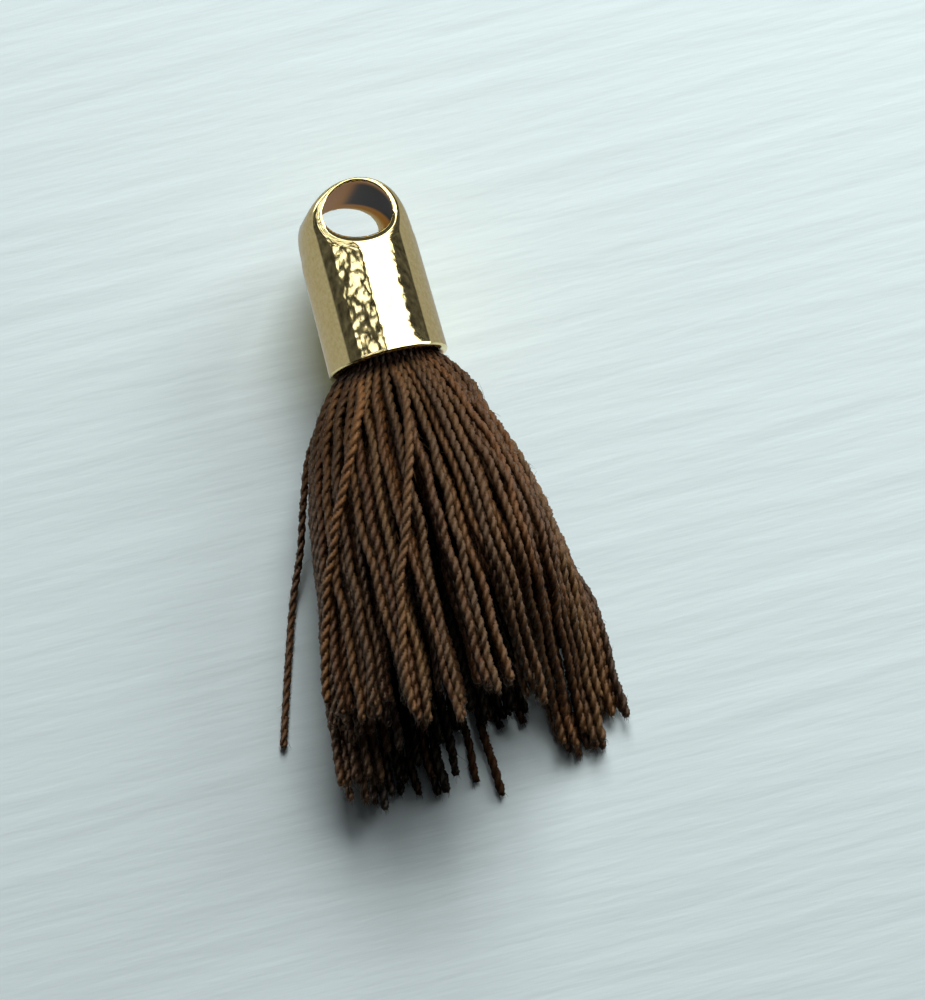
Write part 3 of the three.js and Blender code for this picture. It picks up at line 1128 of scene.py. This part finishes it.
            # Painted shade: inner threads and threads under the bell get a lower tone, and those underneath
            # lose their warmth.
            below = self.under_side[0] < math.degrees(angle) % 360.0 < self.under_side[1]
            painted_shade = self.core_painted_shade * (1.0 - share) + self.under_painted_shade * below
            warmth = 0.0 if below else thread.warmth
            threads.append(thread._replace(tone=thread.tone - painted_shade, warmth=warmth))
        threads += [self.lay_over(thread, chance) for thread in self.laid_over]
        route = np.array(self.stray_route)
        wanted = np.linspace(route[0, 0], route[-1, 0], self.stray_points)
        spots = [curve_through(route[:, 0], route[:, column], wanted) for column in (1, 2)]
        stray = self.place(wanted, *spots)
        stray[:, 2] = np.maximum(stray[:, 2], self.thickness * self.stray_rest)
        threads.append(self.colour(self.even_line(stray), math.pi, chance, self.stray_slim))
        return threads

    def ripple(self, line: np.ndarray, chance: np.random.Generator) -> np.ndarray:
        """Gives a thread the slight waves that it kept from its spool.

        Args:
            line: Middle line of the thread.
            chance: Source of the waves.

        Returns:
            The waved line.
        """
        run = np.linspace(0.0, len(line) * self.step, len(line))
        grow = ease((run - self.calm_length) / self.calm_run_in)
        waved = line.copy()
        for axis in (0, 0, 2, 2):
            turn, pace = chance.uniform(0.0, FULL_TURN), chance.uniform(*self.wave_pace)
            waved[:, axis] += self.waves * grow * np.sin(turn + FULL_TURN * run / pace)
        waved[:, 2] = np.maximum(waved[:, 2], self.thickness / 2.0)
        return waved

    def lay_over(self, thread: LaidOver, chance: np.random.Generator) -> Thread:
        """Lays a thread across its neighbours, on top of the skirt.

        Args:
            thread: How it lies and looks.
            chance: Source of its waves and cut.

        Returns:
            The thread.
        """
        start = max(self.root, thread.swing_from - self.over_lead)
        along = np.linspace(start, thread.cut + chance.uniform(-0.2, 0.2), self.line_points)
        left, right, middle, half = self.outline(along)
        swing = ease((along - thread.swing_from) / (thread.swing_to - thread.swing_from))
        turn = np.radians(thread.start + (thread.end - thread.start) * swing)
        early, length = self.over_rise
        rise = ease((along - thread.swing_from + early) / length)
        lift = self.thickness * (self.over_lift * rise - self.over_sink)
        reach = np.where(np.cos(turn) < 0.0, left, right) + lift
        height = np.maximum(middle + np.sin(turn) * (half + lift), self.thickness / 2.0)
        line = self.ripple(self.even_line(self.place(along, np.cos(turn) * reach, height)), chance)
        plain = self.colour(line, float(turn[-1]), chance, thread.thickness)
        return plain._replace(tone=thread.tone, warmth=thread.warmth)

    def colour(self, line: np.ndarray, angle: float, chance: np.random.Generator, slim: float) -> Thread:
        """Gives a thread its colour, thickness and twist.

        Args:
            line: Middle line of the thread.
            angle: Angle at which it lies in the skirt, in radians.
            chance: Source of the differences between threads.
            slim: Thickness beside the other threads' own.

        Returns:
            The thread.
        """
        turn = math.degrees(angle) % 360.0
        quarter = min(Quarter, key=lambda part: abs((turn - part.value + 180.0) % 360.0 - 180.0))
        tone = float(np.clip(chance.normal(*self.tone_spread), *self.tone_range))
        warmth = float(np.clip(chance.normal(*self.warmth_spread), *self.warmth_range))
        phase = float(chance.uniform(0.0, FULL_TURN))
        thickness = slim * float(chance.uniform(*self.slim_range))
        return Thread(line, quarter, tone, warmth, phase, thickness)

    def spin_plies(self, thread: Thread, batch: TubeBatch) -> None:
        """Winds a thread's two plies round its middle line and adds them to a batch.

        Args:
            thread: The thread.
            batch: Batch that gets the plies.
        """
        line = thread.line
        run = np.concatenate([[0.0], np.cumsum(np.linalg.norm(np.diff(line, axis=0), axis=1))])
        tangent = unit(np.gradient(line, axis=0))
        level = unit(np.cross(tangent, UP))
        rise = np.cross(level, tangent)
        from_mouth = self.mouth.y - line[:, 1]
        width = thread.thickness * self.thread_width(from_mouth)
        slub = np.ones(len(run))
        for swell, turns, pace in self.slubs:
            slub += swell * np.sin(turns * thread.phase + run * pace)
        ply_radius = 0.5 * self.ply_share * width * slub
        fray = np.clip((run - run[-1] + self.fray_length) / self.fray_length, 0.0, 1.0) ** 2
        offset = (0.5 * width - ply_radius) * (1.0 + self.fray * fray)
        ends = 1.0 - self.fray * fray
        ends[-1] = self.tip_share
        turn = thread.phase - self.twist.value * FULL_TURN * run / self.ply_pitch
        paler = self.fray * min(max(self.pale_slope * thread.tone, 0.0), 1.0)
        swing, turns, pace = self.tone_wave
        tone = thread.tone + swing * np.sin(turns * thread.phase + run * pace) + paler * fray
        # Painted shadow of the cap's rim on the threads near the mouth.
        start, length = self.neck_shade
        tone -= self.neck_painted_shadow * (1.0 - ease((from_mouth - start) / length))
        angles = FULL_TURN * np.arange(self.sides) / self.sides
        cosines, sines = np.cos(angles)[None, :, None], np.sin(angles)[None, :, None]
        for half_turn in (0.0, math.pi):
            outward = np.cos(turn + half_turn)[:, None] * level + np.sin(turn + half_turn)[:, None] * rise
            centre = line + outward * offset[:, None]
            way = unit(np.gradient(centre, axis=0))
            normal = unit(outward - (outward * way).sum(axis=1, keepdims=True) * way)
            ring = cosines * normal[:, None] + sines * np.cross(way, normal)[:, None]
            rings = centre[:, None] + ring * (ply_radius * ends)[:, None, None]
            rings[..., 2] = np.maximum(rings[..., 2], 0.0)
            batch.add(rings, run, FULL_TURN * 0.5 * self.ply_share * self.thickness, tone, thread.warmth)

    def tease_fibres(self, threads: list[Thread], batch: TubeBatch) -> None:
        """Teases loose fibres out of the threads and a small brush out of each cut end.

        Args:
            threads: The threads.
            batch: Batch that gets the fibres.
        """
        chance = np.random.default_rng(self.look_seed + 1)
        for thread in threads:
            line = thread.line
            along = unit(np.gradient(line, axis=0))
            last = len(line) - self.fibre_last
            for place in chance.integers(self.fibre_first, last, self.fibres_per_thread):
                out = self.away_from(along[place], chance)
                way = along[place] * chance.choice((-1.0, 1.0)) * self.fibre_along
                way = way + out * chance.uniform(*self.fibre_lean)
                root = line[place] + out * self.fibre_root * self.thickness
                length = chance.uniform(*self.fibre_length)
                self.add_fibre(batch, root, unit(way), out, chance, thread, length)
            for _ in range(self.fibres_per_end):
                out = self.away_from(along[-1], chance)
                way = along[-1] + out * chance.uniform(*self.brush_lean)
                root = line[-1] + out * chance.uniform(0.0, self.fibre_root) * self.thickness
                root = root - along[-1] * self.brush_root
                length = chance.uniform(*self.brush_length)
                self.add_fibre(batch, root, unit(way), out, chance, thread, length)

    @staticmethod
    def away_from(way: np.ndarray, chance: np.random.Generator) -> np.ndarray:
        """Draws a direction that is square to a thread's own."""
        loose = chance.normal(0.0, 1.0, 3)
        return unit(loose - (loose @ way) * way)

    def add_fibre(self, batch: TubeBatch, root: np.ndarray, way: np.ndarray, out: np.ndarray,
                  chance: np.random.Generator, thread: Thread, length: float) -> None:
        """Adds one curved fibre that thins to its tip.

        Args:
            batch: Batch that gets the fibre.
            root: Where the fibre leaves its thread.
            way: Direction in which it starts.
            out: Direction away from the thread.
            chance: Source of its curl.
            thread: Thread that it comes from.
            length: Length in millimetres.
        """
        run = np.linspace(0.0, length, len(self.fibre_taper))
        curl = chance.normal(0.0, self.fibre_curl, 3) - self.fibre_curl * out
        line = root + run[:, None] * way + (run[:, None] ** 2) * curl
        line[:, 2] = np.maximum(line[:, 2], self.fibre_radius)
        first = unit(np.cross(way, UP + 0.1 * out))
        second = np.cross(way, first)
        angles = FULL_TURN * np.arange(self.fibre_sides) / self.fibre_sides
        ring = np.cos(angles)[:, None] * first + np.sin(angles)[:, None] * second
        thin = self.fibre_radius * np.array(self.fibre_taper)
        rings = line[:, None] + ring[None] * thin[:, None, None]
        rings[..., 2] = np.maximum(rings[..., 2], 0.0)
        tone = np.full(len(run), thread.tone + self.fibre_paler)
        batch.add(rings, run, FULL_TURN * self.fibre_radius, tone, thread.warmth)

    def build(self) -> list[bpy.types.Object]:
        """Builds the skirt, one piece a quarter and one for the fuzz.

        Returns:
            The pieces.
        """
        threads = self.make_threads()
        pieces = []
        for quarter in Quarter:
            batch = TubeBatch()
            for thread in threads:
                if thread.quarter is quarter:
                    self.spin_plies(thread, batch)
            pieces.append(batch.finish(f"skirt_{quarter.name.lower()}"))
        fuzz = TubeBatch()
        self.tease_fibres(threads, fuzz)
        pieces.append(fuzz.finish("skirt_fuzz"))
        return pieces

    @staticmethod
    def dress(pieces: list[bpy.types.Object], finish: CottonThread, shaded_under_finish: CottonThread) -> None:
        """Gives the skirt's pieces their cotton and their place in the part.

        Args:
            pieces: The skirt's pieces.
            finish: The cotton thread.
            shaded_under_finish: A less glossy copy of the cotton for the piece underneath, as painted shade.
        """
        # The piece underneath gets the less glossy copy: painted shade.
        cotton, shaded_under_cotton = finish.make(), shaded_under_finish.make()
        for piece in pieces:
            piece.data.materials.append(shaded_under_cotton if piece.name == "skirt_under" else cotton)
            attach(piece, "root")
            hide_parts("skirt")
            log.info("%s: %d faces", piece.name, len(piece.data.polygons))


class Lamp(NamedTuple):
    """Square lamp: its name, where it hangs beside the cap's mouth, its side in millimetres and its power."""

    name: str
    from_mouth: Vector
    side: float
    watts: float


@dataclass
class Studio:
    """Pale surface, soft light and camera round the tassel."""

    mouth: Vector
    azimuth: float = math.radians(-15.0)
    elevation: float = math.radians(75.0)
    distance: float = 230.0
    aim_from_mouth: Vector = field(default_factory=lambda: Vector((1.66, -7.3, -0.13)))
    lens: float = 175.5
    sensor: float = 36.0
    floor_side: float = 1200.0
    canopy_radius: float = 250.0
    canopy_lean: float = math.radians(90.0)
    canopy_ends: tuple[float, float] = (15.0, 270.0)
    canopy_glow: float = 3.6
    tent_radius: float = 11.0
    tent_lean: float = math.radians(89.0)
    tent_ends: tuple[float, float] = (-2.5, 13.0)
    cloth_steps: int = 72
    card_size: tuple[float, float] = (80.0, 40.0)
    card_from_mouth: float = 21.0
    card_height: float = 0.05
    pale_glow: float = 0.41
    pale_left: tuple[float, float] = (math.radians(-70.0), math.radians(-66.0))
    pale_right: tuple[float, float] = (math.radians(80.0), math.radians(83.0))
    leaf_glow: float = 2.6
    leaf_turn: float = 0.34
    leaf_mm: float = 0.62
    leaf_cover: tuple[tuple[float, float], ...] = ((0.22, 0.85), (0.255, 0.51), (0.4, 0.48), (0.5, 0.46))
    brim_mm: float = 10.0
    brim_line: tuple[tuple[float, float], ...] = ((0.12, 0.6), (0.2, 0.27), (0.5, 0.285), (0.95, 0.305))
    lamps: tuple[Lamp, ...] = (
        Lamp("back_window", Vector((88.0, 224.0, 214.0)), 185.0, 1.1),
        Lamp("right_window", Vector((205.0, 105.0, 105.0)), 120.0, 0.3),
    )
    cloth_white: str = "#fbffff"
    lamp_white: str = "#fbfdff"
    room_white: str = "#f4f8ff"
    room_bright_side: tuple[float, float, float] = (0.5, 0.5, 0.7)
    fill: float = 0.105
    fill_dark: float = 0.006

    def lay_floor(self, finish: PaintedBoard) -> None:
        """Lays the pale surface.

        Args:
            finish: Its paint.
        """
        form = bmesh.new()
        bmesh.ops.create_grid(form, x_segments=2, y_segments=2, size=self.floor_side * MM / 2.0,
                              matrix=Matrix.Translation((0.0, 0.0, -0.01 * MM)))
        self.set_up(form, "floor", finish.make())

    def hang_cloths(self) -> None:
        """Hangs a white canopy over all and a small tent over the cap, and lays a pale card by it."""
        white, tree = start_material("white_canopy")
        self.let_glow(tree, self.canopy_glow)
        self.hang_arch("canopy", Vector(), self.canopy_radius, self.canopy_lean, self.canopy_ends, white)
        middle = Vector((self.mouth.x, 0.0, self.mouth.z)) * MM
        ends = tuple(self.mouth.y + end for end in self.tent_ends)
        self.hang_arch("tent", middle, self.tent_radius, self.tent_lean, ends, self.tent_cloth())
        pale, tree = start_material("pale_card")
        self.let_glow(tree, self.pale_glow)
        form = bmesh.new()
        spot = Vector((self.mouth.x, self.mouth.y + self.card_from_mouth, self.card_height)) * MM
        size = (self.card_size[0] * MM, self.card_size[1] * MM, 1.0, 1.0)
        bmesh.ops.create_grid(form, x_segments=1, y_segments=1, size=0.5,
                              matrix=Matrix.Translation(spot) @ Matrix.Diagonal(size))
        self.hide_but_gloss(self.set_up(form, "floor_card", pale))

    def hang_arch(self, name: str, middle: Vector, radius: float, lean: float, ends: tuple[float, ...],
                  material: bpy.types.Material) -> None:
        """Hangs an arched cloth, which only glossy surfaces reflect.

        Args:
            name: Name of the cloth.
            middle: Middle of the arch in metres.
            radius: Radius of the arch.
            lean: How far the arch leans over to either side, in radians.
            ends: Where the arch starts and ends along the tassel.
            material: Its glow.
        """
        form = bmesh.new()
        start = middle + Vector((-math.sin(lean), 0.0, math.cos(lean))) * radius * MM
        corners = [form.verts.new(start + Vector((0.0, end * MM, 0.0))) for end in ends]
        edge = form.edges.new(corners)
        bmesh.ops.spin(form, geom=corners + [edge], cent=middle, axis=LENGTHWAYS, angle=2.0 * lean,
                       steps=self.cloth_steps)
        self.hide_but_gloss(self.set_up(form, name, material))

    def tent_cloth(self) -> bpy.types.Material:
        """Makes the tent's glow: pale at the left, then leaves and twigs, white overhead, dark at the right.

        Returns:
            The material.
        """
        material, tree = start_material("tent_cloth")
        place = add_node(tree, "TexCoord").outputs["Object"]
        moved = add_node(tree, "VectorMath", {"operation": "SUBTRACT"}, {0: place, 1: self.mouth * MM})
        parts = add_node(tree, "SeparateXYZ", inputs={"Vector": moved}).outputs
        lean = add_node(tree, "Math", {"operation": "ARCTAN2"}, {0: parts["X"], 1: parts["Z"]})
        flat = add_node(tree, "CombineXYZ", inputs={"X": lean, "Y": parts["Y"]})
        drawn = add_node(tree, "VectorMath", {"operation": "MULTIPLY"}, {
            0: flat, 1: (1.0 / self.leaf_turn, 1.0 / (self.leaf_mm * MM), 0.0)})
        leaves = add_node(tree, "TexNoise", inputs={
            "Vector": drawn, "Scale": 1.5, "Detail": 3.0, "Roughness": 0.6})
        bend = add_node(tree, "TexNoise", inputs={"Vector": drawn, "Scale": 0.9, "Detail": 2.0})
        bent = add_node(tree, "VectorMath", {"operation": "MULTIPLY_ADD"}, {
            0: bend.outputs["Color"], 1: (1.1, 1.1, 0.0), 2: drawn})
        twigs = add_node(tree, "TexVoronoi", {"feature": "DISTANCE_TO_EDGE"}, {"Vector": bent, "Scale": 0.75})
        ragged = add_node(tree, "Math", {"operation": "SUBTRACT"}, {0: leaves, 1: 0.5})
        shade = add_node(tree, "MapRange", inputs={
            "Value": leaves, "From Min": 0.35, "From Max": 0.65, "To Min": 0.03, "To Max": 0.13})
        turned = add_node(tree, "MapRange", inputs={
            "Value": lean, "From Min": -math.pi / 2.0, "From Max": math.pi / 2.0})
        up_cap = add_node(tree, "MapRange", inputs={
            "Value": parts["Y"], "From Min": 0.0, "From Max": self.brim_mm * MM})
        cover, brim = (add_node(tree, "ValToRGB", inputs={"Fac": value}, stops=tuple(
            (spot, (level, level, level, 1.0)) for spot, level in line))
            for value, line in ((turned, self.leaf_cover), (up_cap, self.brim_line)))
        between = add_node(tree, "Math", {"operation": "SUBTRACT"}, {0: leaves, 1: cover})
        past_twig = add_node(tree, "Math", {"operation": "MULTIPLY_ADD"}, {0: ragged, 1: 0.25, 2: lean})
        from_twig = add_node(tree, "Math", {"operation": "ABSOLUTE"}, {0: past_twig})
        share = add_node(tree, "Math", {"operation": "DIVIDE"}, {0: lean, 1: math.pi})
        edge = add_node(tree, "Math", {"operation": "MULTIPLY_ADD"}, {0: ragged, 1: 0.2, 2: brim})
        within = add_node(tree, "Math", {"operation": "SUBTRACT"}, {0: edge, 1: share})
        off_leaves, off_twigs, overhead, off_stem, in_brim, off_left, low_right = (
            add_node(tree, "MapRange", SMOOTH_RISE, {"Value": value, "From Min": low, "From Max": high})
            for value, low, high in (
                (between, -0.04, 0.04), (twigs, 0.05, 0.11), (past_twig, 0.0, 0.03),
                (from_twig, 0.012, 0.035), (within, -0.008, 0.008), (lean, *self.pale_left),
                (lean, *self.pale_right)))
        gaps = add_node(tree, "Math", {"operation": "MULTIPLY"}, {0: off_leaves, 1: off_twigs})
        glow = shade
        for part, low, high in ((gaps, None, self.leaf_glow), (overhead, None, self.canopy_glow),
                                (off_stem, shade, None), (in_brim, shade, None),
                                (off_left, self.pale_glow, None), (low_right, None, self.pale_glow)):
            glow = add_node(tree, "Mix", OF_NUMBERS, {
                0: part, 2: glow if low is None else low, 3: glow if high is None else high})
        self.let_glow(tree, glow)
        return material

    def let_glow(self, tree: bpy.types.NodeTree, strength: Any) -> None:
        """Ends a stage cloth's nodes in a cool white glow, whose strength is a number or a node."""
        glow = add_node(tree, "Emission", inputs={"Color": linear(self.cloth_white), "Strength": strength})
        add_node(tree, "OutputMaterial", inputs={"Surface": glow})

    @staticmethod
    def hide_but_gloss(cloth: bpy.types.Object) -> None:
        """Lets only glossy surfaces see a stage cloth."""
        cloth.visible_camera = cloth.visible_diffuse = cloth.visible_shadow = False
        cloth.visible_transmission = cloth.visible_volume_scatter = False

    def hang_lamps(self) -> None:
        """Hangs the broad lamps that light the tassel from behind its cap and from the right."""
        for lamp in self.lamps:
            data = bpy.data.lights.new(lamp.name, "AREA")
            data.shape, data.size, data.energy = "SQUARE", lamp.side * MM, lamp.watts
            data.color = linear(self.lamp_white)[:3]
            hung = put_in_scene(lamp.name, data)
            hung.location = (self.mouth + lamp.from_mouth) * MM
            hung.rotation_mode = "QUATERNION"
            hung.rotation_quaternion = lamp.from_mouth.to_track_quat("Z", "Y")
            hung.visible_glossy = False

    @staticmethod
    def set_up(form: bmesh.types.BMesh, name: str, material: bpy.types.Material) -> bpy.types.Object:
        """Makes a stage object from a bmesh and frees the bmesh.

        Args:
            form: The shape, in metres.
            name: Name of the object and its mesh.
            material: Its material.

        Returns:
            The object.
        """
        made = keep_form(form, name)
        made.data.materials.append(material)
        return made

    def light_room(self) -> None:
        """Gives the room a dim light that falls off towards the front and the left."""
        world = bpy.data.worlds.new("room")
        world.use_nodes = True
        tree = world.node_tree
        tree.nodes.clear()
        way = add_node(tree, "TexCoord").outputs["Generated"]
        facing = add_node(tree, "VectorMath", {"operation": "DOT_PRODUCT"}, {
            0: way, 1: Vector(self.room_bright_side).normalized()})
        glow = add_node(tree, "MapRange", SMOOTH_RISE, {
            "Value": facing.outputs["Value"], "From Min": 0.2, "From Max": 0.95,
            "To Min": self.fill_dark, "To Max": self.fill})
        dim = add_node(tree, "Background", inputs={"Color": linear(self.room_white), "Strength": glow})
        add_node(tree, "OutputWorld", inputs={"Surface": dim})
        bpy.context.scene.world = world

    def set_camera(self) -> None:
        """Sets the camera at the photograph's viewing angle."""
        data = bpy.data.cameras.new("camera")
        data.lens, data.sensor_width, data.clip_start = self.lens, self.sensor, 0.01
        camera = put_in_scene("camera", data)
        back = Vector((math.sin(self.azimuth) * math.cos(self.elevation),
                       -math.cos(self.azimuth) * math.cos(self.elevation), math.sin(self.elevation)))
        camera.location = (self.mouth + self.aim_from_mouth + back * self.distance) * MM
        camera.rotation_mode = "QUATERNION"
        camera.rotation_quaternion = (-back).to_track_quat("-Z", "Y")
        bpy.context.scene.camera = camera

    def build(self) -> None:
        """Sets up the camera, the surface and the light."""
        self.set_camera()
        self.lay_floor(PaintedBoard())
        self.hang_cloths()
        self.hang_lamps()
        self.light_room()
        bpy.context.scene.view_settings.view_transform = "Standard"


def main() -> None:
    """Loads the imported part, dresses it and writes how large it became."""
    logging.basicConfig(level=logging.INFO, format="%(name)s: %(message)s")
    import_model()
    cap = EndCap()
    cap.find_mouth()
    Studio(cap.mouth).build()
    cap.dress(cap.build(), GoldPlate())
    skirt = ThreadSkirt(cap.mouth, cap.tilt)
    # The less glossy copy of the cotton for the piece underneath is painted shade.
    skirt.dress(skirt.build(), CottonThread(), CottonThread("shaded_cotton_thread", gloss=0.1, sheen=0.0))


if __name__ == "__main__":
    main()
